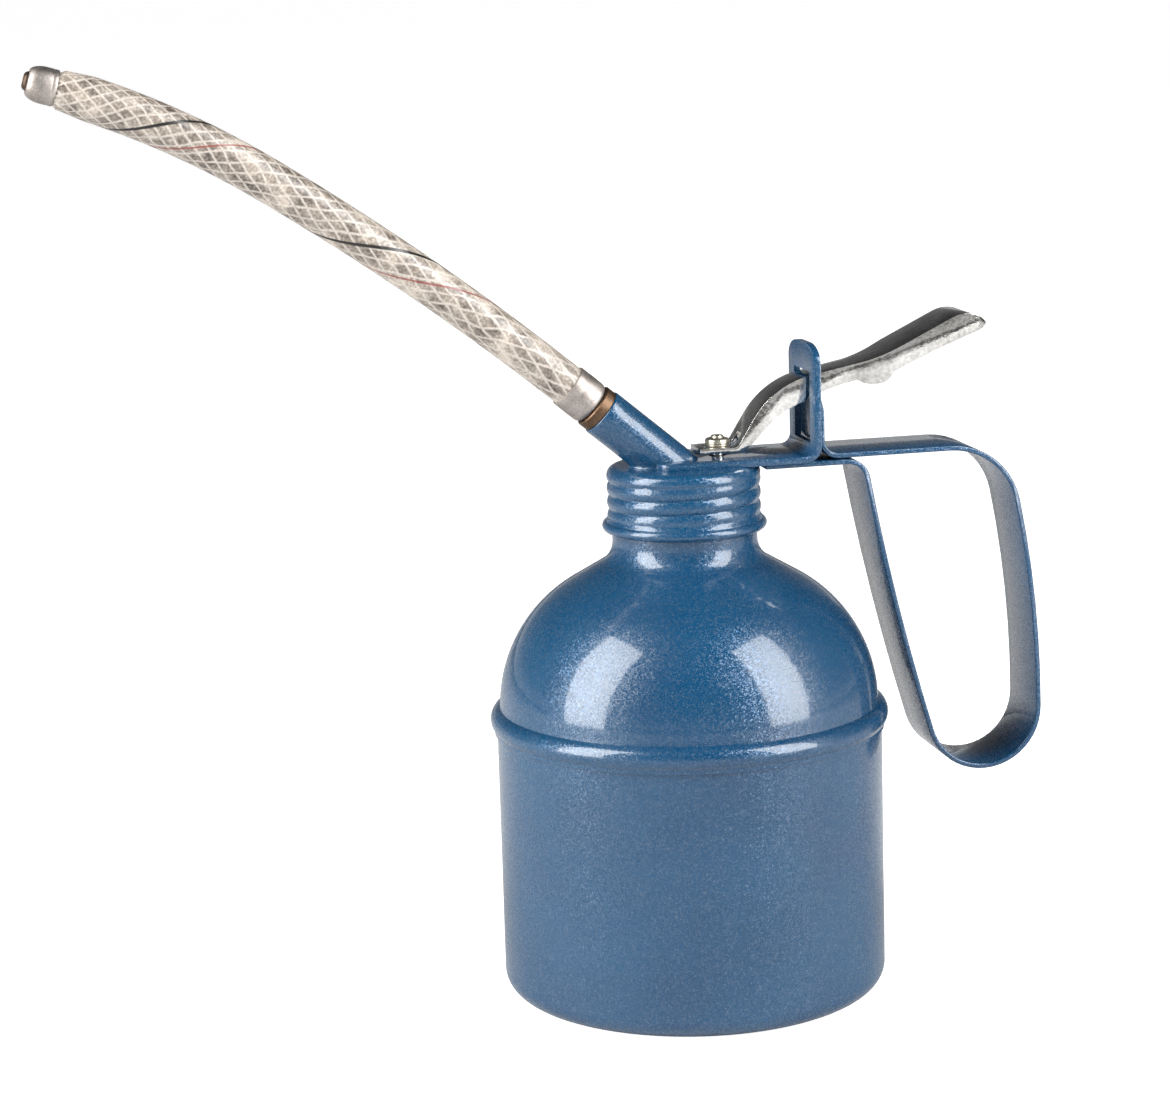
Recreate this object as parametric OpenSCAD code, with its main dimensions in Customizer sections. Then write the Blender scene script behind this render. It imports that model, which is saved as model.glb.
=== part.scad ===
// Thumb-lever pump oil can: a pressed steel can with a screw cap that carries the piston pump,
// the stiff braided spout, the strap handle and the rocking thumb lever.
// Origin at the centre of the can's base, +Z up, spout towards -X, handle towards +X.

/* [Can] */
// Outer radius of the can body
can_r = 46; // [44:0.5:48]
// Height at which the dome's rolled bead is widest
bead_z = 66.8; // [64:0.2:69]
// Outer radius of the rolled bead
bead_r = 47.5; // [47.2:0.1:48]
// Radius of the bottom corner
corner_r = 5; // [3:0.5:6]
// Sheet thickness of the can
sheet = 0.6; // [0.5:0.1:0.8]
// Outer radius of the neck
neck_r = 17.2; // [17:0.1:17.2]

/* [Cap] */
// Height of the cap's top face
cap_top_z = 127; // [126:0.5:128]
// Outer radius of the cap's threaded wall
cap_r = 18.1; // [18.1:0.1:18.4]
// Outer radius of the cap's rolled hem
hem_r = 19.5; // [19.2:0.1:20]

/* [Spout] */
// Angle of the spout socket above the horizontal
spout_angle = 40.5; // [38:0.5:43]
// Outer radius of the spout socket
socket_r = 5.75; // [5.5:0.05:6]
// Outer radius of the braided hose at its root
hose_r = 4.9; // [4.7:0.05:5]
// Bore radius of the braided hose at its root
hose_bore_r = 3; // [2.5:0.1:3.2]
// How much the hose's radius grows at each of its two bends
hose_step = 0.1; // [0.05:0.05:0.15]

/* [Handle and lever] */
// Width of the lever bracket
bracket_w = 22; // [20:0.5:24]
// Thickness of the bracket plate
bracket_t = 1.5; // [1.2:0.1:1.5]
// Width of the handle strap
strap_w = 19; // [18:0.5:20]
// Thickness of the handle strap
strap_t = 1.2; // [1:0.1:1.2]
// Width of the lever's neck
lever_neck_w = 10; // [9:0.5:10.5]
// Width of the lever's thumb pad
lever_pad_w = 15; // [14:0.5:16]
// Sheet thickness of the lever
lever_t = 1.2; // [1:0.1:1.3]

/* [Pump] */
// Distance of the pump rod behind the can's axis
rod_x = 8.4; // [8:0.1:8.4]
// Radius of the pump rod
rod_r = 1.5; // [1.4:0.05:1.6]
// Bore radius of the pump barrel
barrel_bore_r = 5; // [4.8:0.05:5]
// Wall of the pump barrel
barrel_wall = 0.6; // [0.5:0.1:0.6]

/* [Hidden] */
$fn = 96;
blue = "#2f6da3";
chrome = "#c9ccd0";
brass = "#c2a14d";
running = 0.04;         // radial clearance of a sliding fit
overcut = 1;            // how far a cut runs past the face it opens

// points along an arc about c, from angle a0 to a1
function arc(c, r, a0, a1, n) = [for (i = [0:n]) let (a = a0 + (a1 - a0) * i / n)
    [c[0] + r * cos(a), c[1] + r * sin(a)]];
function reversed(list) = [for (i = [len(list) - 1:-1:0]) list[i]];

// ---- can outline ----
rim_z = 68;             // top edge of the drawn body, inside the bead
bead_arc_r = 3.2;
bead_c = [bead_r - bead_arc_r, bead_z];
dome_wall_r = 45.2;
dome_arc_r = 35;
dome_c = [dome_wall_r - dome_arc_r, 69.2];
dome_low_a = 3;
dome_high_a = 59.5;
fillet_r = 6;
dome_end = dome_c + dome_arc_r * [cos(dome_high_a), sin(dome_high_a)];
fillet_x = neck_r + fillet_r * (1 - cos(dome_high_a));
fillet_z = dome_end[1] + (dome_end[0] - fillet_x) / tan(dome_high_a);
fillet_c = [neck_r + fillet_r, fillet_z + fillet_r * sin(dome_high_a)];
neck_rim_z = cap_top_z - 2.1;
neck_lip_r = 14.8;      // inner edge of the neck's turned-in lip
cap_sheet = 0.5;

// ---- spout path: straight socket stretch, then two long bends ----
heading = [-cos(spout_angle), sin(spout_angle)];
mouth_run = 21;         // socket length along its axis, from the cap's top face
buried = 12;            // how much further down its axis the socket is drawn before it is cut off
mouth_x = -19.5;
mouth_z = 140.6;
bush_show = 2.6;
ferrule_l = 7.6;
hose_start = 3.6;       // distance of the hose's root from the socket's mouth
straight_l = 12;
hose_lap = 1;           // how far one length of the hose runs on inside the next
crimp_l = 4.8;          // length of the hose's tip that the front ferrule squeezes
crimp_depth = 1.2;
tip_hose_r = hose_r - crimp_depth;
tip_bore_r = hose_bore_r - crimp_depth / 2;
bend_1_r = 640;
bend_1_a = 7.5;
bend_2_r = 197;
bend_2_a = 16;
bend_1_at = [mouth_x, mouth_z] + straight_l * heading;
bend_1_c = bend_1_at - bend_1_r * [sin(spout_angle), cos(spout_angle)];
mid_angle = spout_angle - bend_1_a;
bend_2_at = bend_1_c + bend_1_r * [sin(mid_angle), cos(mid_angle)];
bend_2_c = bend_2_at - bend_2_r * [sin(mid_angle), cos(mid_angle)];
tip_angle = mid_angle - bend_2_a;
hose_lap_a = hose_lap / bend_1_r * 180 / PI;
crimp_a = crimp_l / bend_2_r * 180 / PI;
crimp_lap_a = hose_lap / bend_2_r * 180 / PI;
tip_at = bend_2_c + bend_2_r * [sin(tip_angle), cos(tip_angle)];

// ---- bracket and strap ----
plate_front_x = -8;
upright_x = 29.4;       // front face of the upright
upright_top_z = 154.4;
bracket_bend_r = 2.4;   // inside of the plate's bend
slot_w = 12.8;
slot_low_z = 131;
slot_high_z = 147.9;
plate_z = cap_top_z;    // underside of the base plate
strap_front_x = 17.6;
under_z = plate_z - strap_t / 2;
top_run_z = 128;
tab_x = upright_x + bracket_t + strap_t / 2;
tab_top_z = 142;
tab_chamfer = 3;
corner_1_r = 5;
leg_top_a = 10.5;
leg_low_a = 16.7;
loop_r = 13.9;
leg_r = 598;
// the loop's height puts the strap's front run flat under the base plate
loop_c = [71.1, under_z - corner_1_r - (leg_r - loop_r) * sin(leg_low_a)
    + (leg_r + corner_1_r) * sin(leg_top_a)];
right_r = 255;
right_a = 11.5;
tab_bend_r = 4;
leg_c = loop_c + (leg_r - loop_r) * [cos(leg_low_a), sin(leg_low_a)];
leg_top = leg_c - leg_r * [cos(leg_top_a), sin(leg_top_a)];
corner_1_c = leg_top - corner_1_r * [cos(leg_top_a), sin(leg_top_a)];
right_c = loop_c - [right_r - loop_r, 0];
right_end = right_c + right_r * [cos(right_a), sin(right_a)];
corner_2_r = (top_run_z - right_end[1]) / (1 - sin(right_a));
corner_2_c = right_end - corner_2_r * [cos(right_a), sin(right_a)];
tab_bend_c = [tab_x + tab_bend_r, top_run_z + tab_bend_r];

// ---- lever ----
foot_top_z = 130.8;
foot_front_x = 3.1;
foot_w = 9;
rod_slot_w = 2 * rod_r + 0.8;

// ---- pump heights ----
cap_under_z = cap_top_z - cap_sheet;
head_r = 14;
head_low_z = cap_under_z - 8;
gland_r = 3.2;
gland_low_z = cap_under_z - 4;
barrel_low_z = 89;
valve_low_z = 86.4;
valve_top_z = 94;
seat_z = 90.4;
seat_r = 1.1;
ball_r = 1.5;
ball_z = seat_z + sqrt(ball_r * ball_r - seat_r * seat_r) + 0.03;
chamber_r = 2.2;
retainer_t = 0.6;
suction_r = 2;
suction_bore_r = 1.4;
suction_low_z = 9;
piston_low_z = 98;
piston_h = 3.6;
cup_h = 2.4;
nut_h = 2.2;
barrel_r = barrel_bore_r + barrel_wall;
channel_r = 1.3;
channel_z = head_low_z + 2.6;
outlet_x = -3.5;        // where the delivery channel rises into the socket
head_gap = 0.05;        // play between the lever's foot and the rod's washer
washer_t = 0.5;
washer_z = foot_top_z + head_gap;
rivet_z = washer_z + washer_t;

// ring section turned about Z
module ring(r_in, r_out, z0, z1) {
    rotate_extrude()
        translate([r_in, z0])
            square([r_out - r_in, z1 - z0]);
}

// puts a drawing made in the X-Z plane upright, w thick and centred on Y = 0
module upright_slab(w) {
    translate([0, w / 2, 0])
        rotate([90, 0, 0])
            linear_extrude(height = w)
                children();
}

// places a solid drawn along +Z onto the spout's axis, s from the mouth along its straight stretch
module on_spout(s) {
    translate([mouth_x + s * heading[0], 0, mouth_z + s * heading[1]])
        rotate([0, spout_angle - 90, 0])
            children();
}

// the same at the spout's tip, where the axis has turned down to tip_angle
module on_tip(s) {
    translate([tip_at[0] - s * cos(tip_angle), 0, tip_at[1] + s * sin(tip_angle)])
        rotate([0, tip_angle - 90, 0])
            children();
}

// one bend of the spout in the X-Z plane, a tube section carried round c and wider by grow
module spout_bend(c, r, from_a, sweep, grow) {
    translate([c[0], 0, c[1]])
        rotate([90, 0, 0])
            rotate([0, 0, 90 - from_a])
                rotate_extrude(angle = sweep)
                    translate([r, 0])
                        difference() {
                            circle(hose_r + grow);
                            circle(hose_bore_r + grow / 2);
                        }
}

module can_body() {
    outer = concat([[0, 0]], arc([can_r - corner_r, corner_r], corner_r, -90, 0, 8), [[can_r, rim_z]]);
    inner = concat([[can_r - sheet, rim_z]],
        arc([can_r - corner_r, corner_r], corner_r - sheet, 0, -90, 8), [[0, sheet]]);
    color(blue)
        rotate_extrude()
            polygon(concat(outer, inner));
}

module can_dome() {
    lip_out = can_r + 0.05 + sheet;
    lip_a = -acos((lip_out - bead_c[0]) / bead_arc_r);
    bead_in_r = bead_arc_r - sheet;
    in_low_a = -acos((can_r + 0.05 - bead_c[0]) / bead_in_r);
    lip_z = bead_c[1] + bead_arc_r * sin(lip_a) - 0.3;
    outer = concat([[can_r + 0.05, lip_z], [lip_out, lip_z]],
        arc(bead_c, bead_arc_r, lip_a, 72, 12),
        arc(dome_c, dome_arc_r, dome_low_a, dome_high_a, 22),
        arc(fillet_c, fillet_r, 180 + dome_high_a, 180, 8),
        [[neck_r, neck_rim_z - 0.5], [neck_r - 0.5, neck_rim_z], [neck_lip_r, neck_rim_z]]);
    inner = concat([[neck_lip_r, neck_rim_z - sheet], [neck_r - sheet, neck_rim_z - sheet]],
        arc(fillet_c, fillet_r + sheet, 180, 180 + dome_high_a, 8),
        arc(dome_c, dome_arc_r - sheet, dome_high_a, dome_low_a, 22),
        [[can_r - sheet - 0.2, rim_z + sheet], [can_r - sheet - 0.2, rim_z], [can_r + 0.05, rim_z]],
        arc(bead_c, bead_in_r, 20, in_low_a, 6));
    color(blue)
        rotate_extrude()
            polygon(concat(outer, inner));
}

module cap_gasket() {
    color("#b08a5a")
        ring(neck_lip_r, neck_r - 0.4, neck_rim_z, cap_under_z);
}

module screw_cap() {
    shoulder = 2.2;
    hem_c = [hem_r - 1.3, cap_top_z - 14.2];
    outer = concat([[0, cap_top_z]],
        arc([cap_r - shoulder, cap_top_z - shoulder], shoulder, 90, 0, 8),
        [[cap_r, hem_c[1] + 2.2]],
        arc(hem_c, 1.3, 60, -120, 10));
    inner = [[cap_r - cap_sheet, hem_c[1] + 1.6], [cap_r - cap_sheet, cap_top_z - shoulder],
        [cap_r - cap_sheet - 0.6, cap_under_z], [0, cap_under_z]];
    color(blue)
        difference() {
            rotate_extrude()
                polygon(concat(outer, inner));
            translate([rod_x, 0, cap_under_z - overcut])
                cylinder(r = rod_r + 0.7, h = cap_sheet + 2 * overcut);
            translate([outlet_x, 0, cap_under_z - overcut])
                cylinder(r = 2.6, h = cap_sheet + 2 * overcut);
        }
}

module spout_socket() {
    color(blue)
        difference() {
            intersection() {
                on_spout(-mouth_run - buried)
                    cylinder(r = socket_r, h = mouth_run + buried);
                translate([-60, -20, cap_top_z])
                    cube([80, 40, 40]);
            }
            on_spout(-mouth_run - buried - overcut)
                cylinder(r = 4.3, h = mouth_run + buried + 2 * overcut);
        }
}

module bracket_outline() {
    bend_c = [upright_x - bracket_bend_r, plate_z + bracket_t + bracket_bend_r];
    polygon(concat(
        [[plate_front_x, plate_z]],
        arc(bend_c, bracket_bend_r + bracket_t, -90, 0, 8),
        [[upright_x + bracket_t, upright_top_z], [upright_x, upright_top_z]],
        arc(bend_c, bracket_bend_r, 0, -90, 6),
        [[plate_front_x, plate_z + bracket_t]]));
}

module lever_bracket() {
    crown_w = 8;
    crown_h = 4.2;
    crown_flat = bracket_w / 2 - crown_w;
    front_corner = 4;
    color(blue)
        difference() {
            upright_slab(bracket_w)
                bracket_outline();
            // slot for the lever's neck
            translate([upright_x - overcut, -slot_w / 2, slot_low_z])
                cube([bracket_t + 2 * overcut, slot_w, slot_high_z - slot_low_z]);
            // crowned top of the upright
            for (side = [-1, 1])
                translate([upright_x - overcut, 0, upright_top_z])
                    rotate([90, 0, 90])
                        linear_extrude(height = bracket_t + 2 * overcut)
                            polygon(concat([[side * crown_flat, overcut]],
                                [for (a = [0:9:90]) [side * (crown_flat + crown_w * sin(a)),
                                    -crown_h * (1 - cos(a))]],
                                [[side * (bracket_w / 2 + overcut), -crown_h],
                                [side * (bracket_w / 2 + overcut), overcut]]));
            // rounded front corners of the base plate
            for (side = [-1, 1])
                translate([plate_front_x, side * bracket_w / 2, plate_z - overcut])
                    difference() {
                        translate([-overcut, -front_corner, 0])
                            cube([front_corner + overcut, 2 * front_corner, bracket_t + 2 * overcut]);
                        translate([front_corner, -side * front_corner, 0])
                            cylinder(r = front_corner, h = bracket_t + 2 * overcut);
                    }
            // mouth for the spout socket, rod hole and air vent
            on_spout(-mouth_run - buried)
                cylinder(r = socket_r + 0.05, h = mouth_run + buried);
            translate([plate_front_x - overcut, -socket_r - 0.05, plate_z - overcut])
                cube([4, 2 * socket_r + 0.1, bracket_t + 2 * overcut]);
            translate([rod_x, 0, plate_z - overcut])
                cylinder(r = rod_r + 0.7, h = bracket_t + 2 * overcut);
            translate([rod_x + 7, 0, plate_z - overcut])
                cylinder(r = 0.8, h = bracket_t + 2 * overcut);
        }
}

// one side of the strap's outline: side is 1 on its left as it runs from the front end to the tab
function strap_side(side) = let (h = side * strap_t / 2) concat(
    [[strap_front_x, under_z + h]],
    arc(corner_1_c, corner_1_r + h, 90, leg_top_a, 8),
    arc(leg_c, leg_r - h, 180 + leg_top_a, 180 + leg_low_a, 6),
    arc(loop_c, loop_r - h, 180 + leg_low_a, 360, 22),
    arc(right_c, right_r - h, 0, right_a, 6),
    arc(corner_2_c, corner_2_r - h, right_a, 90, 10),
    arc(tab_bend_c, tab_bend_r + h, 270, 180, 6),
    [[tab_x - h, tab_top_z]]);

module handle_strap() {
    color(blue)
        difference() {
            upright_slab(strap_w)
                polygon(concat(strap_side(1), reversed(strap_side(-1))));
            for (side = [-1, 1])
                translate([tab_x, side * strap_w / 2, tab_top_z])
                    rotate([45, 0, 0])
                        cube([2 * strap_t, tab_chamfer * sqrt(2), tab_chamfer * sqrt(2)], center = true);
        }
}

// points of a bend that starts at p with heading h and turns left by a (right if a is negative)
function bend(p, h, r, a, n) = [for (i = [1:n]) let (t = a * i / n)
    p + sign(a) * r * ([-sin(h), cos(h)] + [sin(h + t), -cos(h + t)])];
function last(list) = list[len(list) - 1];
function ahead(p, h, l) = p + l * [cos(h), sin(h)];

// the lever's top face from the foot to the end of the pad, or a line d below it
function lever_path(d) = let (
    foot = [[11, foot_top_z - d]],
    rise = bend(foot[0], 0, 2 + d, 58, 5),
    neck = bend(ahead(last(rise), 58, 6.6), 58, 21 - d, -47, 10),
    dip = bend(ahead(last(neck), 11, 10.8), 11, 37 + d, 14.5, 5),
    end = bend(ahead(last(dip), 25.5, 16.6), 25.5, 7.5 - d, -75, 9))
    concat(foot, rise, [ahead(last(rise), 58, 6.6)], neck, [ahead(last(neck), 11, 10.8)], dip,
        [ahead(last(dip), 25.5, 16.6)], end);

// lower edge of the side flanges, from the pad's end to the foot, with the lobe and the shoulder
lever_low = [[72.2, 156], [61, 151.8], [52.6, 148.2], [50, 146.9], [49, 145.2], [47.4, 144.2],
    [45.1, 143.9], [43, 144.3], [41.6, 145.1], [37, 144.1], [31.6, 142.4], [29.6, 142],
    [29.2, 141.1], [26.3, 139.9], [23.9, 138.8], [21.4, 137.2], [18.9, 134.7], [16.6, 132.3],
    [14.6, 130.4]];

module lever_side() {
    foot_low_z = foot_top_z - lever_t;
    polygon(concat([[foot_front_x, foot_low_z], [foot_front_x, foot_top_z]], lever_path(0),
        lever_low, [[12.9, foot_low_z]]));
}

// plan of the lever: foot, neck, flare and pad, drawn one inset in from its edge
module lever_plan(inset) {
    neck = lever_neck_w / 2 - inset;
    pad = lever_pad_w / 2 - inset;
    foot = foot_w / 2 - inset;
    half = [[0, foot], [9, foot], [11, neck], [41, neck], [51, pad], [71, pad], [73, pad - 1.2],
        [74.5, pad - 3], [76, pad - 3]];
    polygon(concat(half, reversed([for (p = half) [p[0], -p[1]]])));
}

// the space under the top face, one sheet below it
module lever_hollow() {
    under = lever_path(lever_t);
    upright_slab(2 * lever_pad_w)
        polygon(concat(under, [ahead(last(under), -49.5, 6), [80, 120], [11, 120]]));
}

module thumb_lever() {
    color(chrome)
        difference() {
            intersection() {
                upright_slab(lever_pad_w)
                    lever_side();
                translate([0, 0, 120])
                    linear_extrude(height = 50)
                        lever_plan(0);
            }
            // the channel's inside, one sheet in from its outline
            intersection() {
                lever_hollow();
                translate([0, 0, 119])
                    linear_extrude(height = 52)
                        lever_plan(lever_t);
            }
            // the long hole that lets the foot tilt about the rod
            translate([0, 0, foot_top_z - lever_t - 2])
                linear_extrude(height = 7)
                    translate([rod_x - 1.2, -rod_slot_w / 2])
                        square([6.7, rod_slot_w]);
            translate([rod_x - 1.2, 0, foot_top_z - lever_t - 2])
                cylinder(r = rod_slot_w / 2, h = 7);
        }
}

module pump_head() {
    color(brass)
        difference() {
            translate([0, 0, head_low_z])
                cylinder(r = head_r, h = cap_under_z - head_low_z);
            translate([rod_x, 0, head_low_z - overcut])
                cylinder(r = rod_r + running, h = 20);
            translate([rod_x, 0, gland_low_z])
                cylinder(r = gland_r, h = 20);
            // delivery channel: up out of the barrel, across, and up into the socket
            translate([rod_x - 3.4, 0, head_low_z - overcut])
                cylinder(r = channel_r, h = channel_z - head_low_z + overcut);
            translate([outlet_x, 0, channel_z])
                rotate([0, 90, 0])
                    cylinder(r = channel_r, h = rod_x - 3.4 - outlet_x);
            translate([outlet_x, 0, channel_z])
                cylinder(r = channel_r, h = 20);
        }
}

module gland_packing() {
    color("#3a3a3a")
        translate([rod_x, 0, 0])
            ring(rod_r + running, gland_r, gland_low_z, gland_low_z + 2);
}

module gland_nut() {
    color(brass)
        translate([rod_x, 0, 0])
            ring(rod_r + running, gland_r - 0.02, gland_low_z + 2, cap_under_z);
}

module pump_barrel() {
    color(brass)
        translate([rod_x, 0, 0])
            ring(barrel_bore_r, barrel_r, barrel_low_z, head_low_z);
}

module foot_valve() {
    color(brass)
        translate([rod_x, 0, 0])
            difference() {
                union() {
                    translate([0, 0, valve_low_z])
                        cylinder(r = barrel_r, h = barrel_low_z - valve_low_z);
                    translate([0, 0, valve_low_z])
                        cylinder(r = barrel_bore_r, h = valve_top_z - valve_low_z);
                }
                translate([0, 0, valve_low_z - overcut])
                    cylinder(r = seat_r, h = 20);
                translate([0, 0, valve_low_z - overcut])
                    cylinder(r = suction_r, h = 2 + overcut);
                translate([0, 0, seat_z])
                    cylinder(r = chamber_r, h = 20);
            }
}

module ball_retainer() {
    color(brass)
        translate([rod_x, 0, valve_top_z])
            difference() {
                cylinder(r = barrel_bore_r, h = retainer_t);
                for (a = [0:60:300])
                    rotate([0, 0, a])
                        translate([1.9, 0, -overcut])
                            cylinder(r = 0.6, h = retainer_t + 2 * overcut);
            }
}

module inlet_ball() {
    color(chrome)
        translate([rod_x, 0, ball_z])
            sphere(r = ball_r);
}

module suction_tube() {
    color(brass)
        translate([rod_x, 0, 0])
            ring(suction_bore_r, suction_r, suction_low_z, valve_low_z + 2);
}

module inlet_strainer() {
    strainer_r = 3.4;
    strainer_low_z = 5;
    strainer_h = 9;
    color(brass)
        translate([rod_x, 0, strainer_low_z])
            difference() {
                cylinder(r = strainer_r, h = strainer_h);
                translate([0, 0, 0.6])
                    cylinder(r = strainer_r - 0.6, h = 3.4);
                translate([0, 0, 1])
                    cylinder(r = suction_bore_r, h = 20);
                translate([0, 0, suction_low_z - strainer_low_z])
                    cylinder(r = suction_r, h = 20);
                for (a = [0:45:315])
                    rotate([0, 0, a])
                        translate([0, -0.4, 1])
                            cube([strainer_r + overcut, 0.8, 2.6]);
            }
}

module spout_nipple() {
    color(brass)
        on_spout(-8)
            difference() {
                cylinder(r = hose_bore_r, h = 26);
                translate([0, 0, -overcut])
                    cylinder(r = hose_bore_r - 0.9, h = 26 + 2 * overcut);
            }
}

module spout_bush() {
    color("#a9825a")
        on_spout(-8)
            difference() {
                union() {
                    cylinder(r = 4.3, h = 8);
                    translate([0, 0, 8])
                        cylinder(r = 5.45, h = bush_show);
                }
                translate([0, 0, -overcut])
                    cylinder(r = hose_bore_r, h = 8 + bush_show + 2 * overcut);
            }
}

module rear_ferrule() {
    color("#d5d2cb")
        on_spout(bush_show)
            rotate_extrude()
                polygon(concat([[hose_bore_r, 0]], arc([hose_r - 0.9, 1.3], 1.3, -90, 0, 5),
                    [[hose_r + 0.4, ferrule_l], [hose_r, ferrule_l], [hose_r, 1], [hose_bore_r, 1]]));
}

module spout_hose() {
    color("#cbbfa9")
        union() {
            on_spout(hose_start)
                difference() {
                    cylinder(r = hose_r, h = straight_l - hose_start + hose_lap);
                    translate([0, 0, -overcut])
                        cylinder(r = hose_bore_r, h = straight_l + hose_lap + 2 * overcut);
                }
            spout_bend(bend_1_c, bend_1_r, spout_angle, bend_1_a + hose_lap_a, hose_step);
            spout_bend(bend_2_c, bend_2_r, mid_angle, bend_2_a - crimp_a, 2 * hose_step);
            spout_bend(bend_2_c, bend_2_r, tip_angle + crimp_a + crimp_lap_a, crimp_a + crimp_lap_a,
                -crimp_depth);
        }
}

module front_ferrule() {
    color("#d5d2cb")
        on_tip(0)
            rotate_extrude()
                polygon(concat([[tip_hose_r, -crimp_l], [tip_hose_r + 0.4, -crimp_l]],
                    arc([tip_hose_r - 1.5, -0.5], 1.9, 0, 70, 5), [[2.2, 1.6], [2.2, 0],
                    [tip_hose_r, 0]]));
}

module nozzle_tip() {
    stem_l = 5;
    color("#8a6f58")
        on_tip(0)
            rotate_extrude()
                polygon([[1.3, -stem_l], [tip_bore_r, -stem_l], [tip_bore_r, 0], [2.2, 0],
                    [2.2, 1.8], [1.7, 2.5], [1.3, 2.5]]);
}

module piston_rod() {
    color(chrome)
        translate([rod_x, 0, piston_low_z - nut_h])
            cylinder(r = rod_r, h = rivet_z - piston_low_z + nut_h);
}

module rod_head() {
    color(chrome)
        translate([rod_x, 0, rivet_z])
            rotate_extrude()
                polygon([[0, 0], [2.8, 0], [2.95, 0.4], [2.85, 1], [2.4, 1.3], [1.5, 1.4], [1.5, 1.9], [0, 2]]);
}

module rod_washer() {
    color(chrome)
        translate([rod_x, 0, 0])
            ring(rod_r, 2.9, washer_z, washer_z + washer_t);
}

module piston() {
    color(brass)
        translate([rod_x, 0, 0])
            ring(rod_r, barrel_bore_r - 0.3, piston_low_z, piston_low_z + piston_h);
}

module piston_cup() {
    color("#3a3a3a")
        translate([rod_x, 0, piston_low_z + piston_h])
            rotate_extrude()
                polygon([[rod_r, 0], [barrel_bore_r - running, 0], [barrel_bore_r - running, cup_h],
                    [barrel_bore_r - 0.8, cup_h], [barrel_bore_r - 1, 0.8], [rod_r, 0.8]]);
}

module piston_nut() {
    color(brass)
        translate([rod_x, 0, piston_low_z - nut_h])
            difference() {
                cylinder(r = 3, h = nut_h, $fn = 6);
                translate([0, 0, -overcut])
                    cylinder(r = rod_r, h = nut_h + 2 * overcut);
            }
}

// helical spring swept as one closed tube of six-sided rings
module return_spring() {
    wire_r = 0.35;
    coil_r = 3.3;
    turns = 5;
    steps = 18;
    sides = 6;
    low_z = piston_low_z + piston_h + 0.8 + wire_r;
    high_z = head_low_z - wire_r;
    n = turns * steps;
    rings = [for (i = [0:n]) let (a = 360 * i / steps, z = low_z + (high_z - low_z) * i / n)
        [for (j = [0:sides - 1]) let (b = 360 * j / sides, r = coil_r + wire_r * cos(b))
            [r * cos(a), r * sin(a), z + wire_r * sin(b)]]];
    points = [for (one = rings) each one];
    side_faces = [for (i = [0:n - 1]) for (j = [0:sides - 1]) let (k = (j + 1) % sides)
        [i * sides + j, i * sides + k, (i + 1) * sides + k, (i + 1) * sides + j]];
    ends = [[for (j = [sides - 1:-1:0]) j], [for (j = [0:sides - 1]) n * sides + j]];
    color(chrome)
        translate([rod_x, 0, 0])
            polyhedron(points = points, faces = concat(side_faces, ends), convexity = 10);
}

can_body();
can_dome();
cap_gasket();
screw_cap();
spout_socket();
lever_bracket();
handle_strap();
pump_head();
gland_packing();
gland_nut();
pump_barrel();
foot_valve();
ball_retainer();
inlet_ball();
suction_tube();
inlet_strainer();
spout_nipple();
spout_bush();
rear_ferrule();
spout_hose();
front_ferrule();
nozzle_tip();
thumb_lever();
piston_rod();
rod_head();
rod_washer();
piston();
piston_cup();
piston_nut();
return_spring();
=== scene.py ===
from math import cos, pi, radians, sin

import bmesh
import bpy
from mathutils import Matrix, Vector


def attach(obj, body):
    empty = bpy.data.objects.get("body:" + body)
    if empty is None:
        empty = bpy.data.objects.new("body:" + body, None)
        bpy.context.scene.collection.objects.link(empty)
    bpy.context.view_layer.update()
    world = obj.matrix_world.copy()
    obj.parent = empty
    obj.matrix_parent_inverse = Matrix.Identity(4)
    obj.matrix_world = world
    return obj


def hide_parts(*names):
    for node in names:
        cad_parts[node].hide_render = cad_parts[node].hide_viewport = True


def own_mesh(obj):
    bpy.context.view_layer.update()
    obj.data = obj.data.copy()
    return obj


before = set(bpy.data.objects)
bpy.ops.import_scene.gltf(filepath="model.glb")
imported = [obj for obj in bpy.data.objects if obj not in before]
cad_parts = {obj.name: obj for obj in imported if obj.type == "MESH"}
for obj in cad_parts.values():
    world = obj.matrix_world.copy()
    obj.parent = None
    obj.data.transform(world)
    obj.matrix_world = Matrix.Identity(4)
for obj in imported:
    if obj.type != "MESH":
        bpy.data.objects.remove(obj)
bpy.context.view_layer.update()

# ---- Camera ----
# Long lens a little above the cap, turned to the spout's side of the can.
MM = 0.001
camera_place = Vector((-179.06, -718.2, 252.2)) * MM
camera_pan = 0.21225
camera_pitch = 0.195
camera_roll = -0.0302
focal_length = 97.87
film_width = 36
near_limit = 0.01
level = Vector((sin(camera_pan), cos(camera_pan), 0))
beside = Vector((cos(camera_pan), -sin(camera_pan), 0))
upright = Vector((0, 0, 1))
looking = level * cos(camera_pitch) - upright * sin(camera_pitch)
above = level * sin(camera_pitch) + upright * cos(camera_pitch)
across = beside * cos(camera_roll) + above * sin(camera_roll)
over = above * cos(camera_roll) - beside * sin(camera_roll)
camera_data = bpy.data.cameras.new("camera")
camera_data.sensor_fit = "HORIZONTAL"
camera_data.sensor_width = film_width
camera_data.lens = focal_length
camera_data.clip_start = near_limit
camera = bpy.data.objects.new("camera", camera_data)
camera_turn = Matrix((across, over, -looking)).transposed().to_4x4()
camera.matrix_world = Matrix.Translation(camera_place) @ camera_turn
bpy.context.collection.objects.link(camera)
bpy.context.scene.camera = camera


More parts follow.
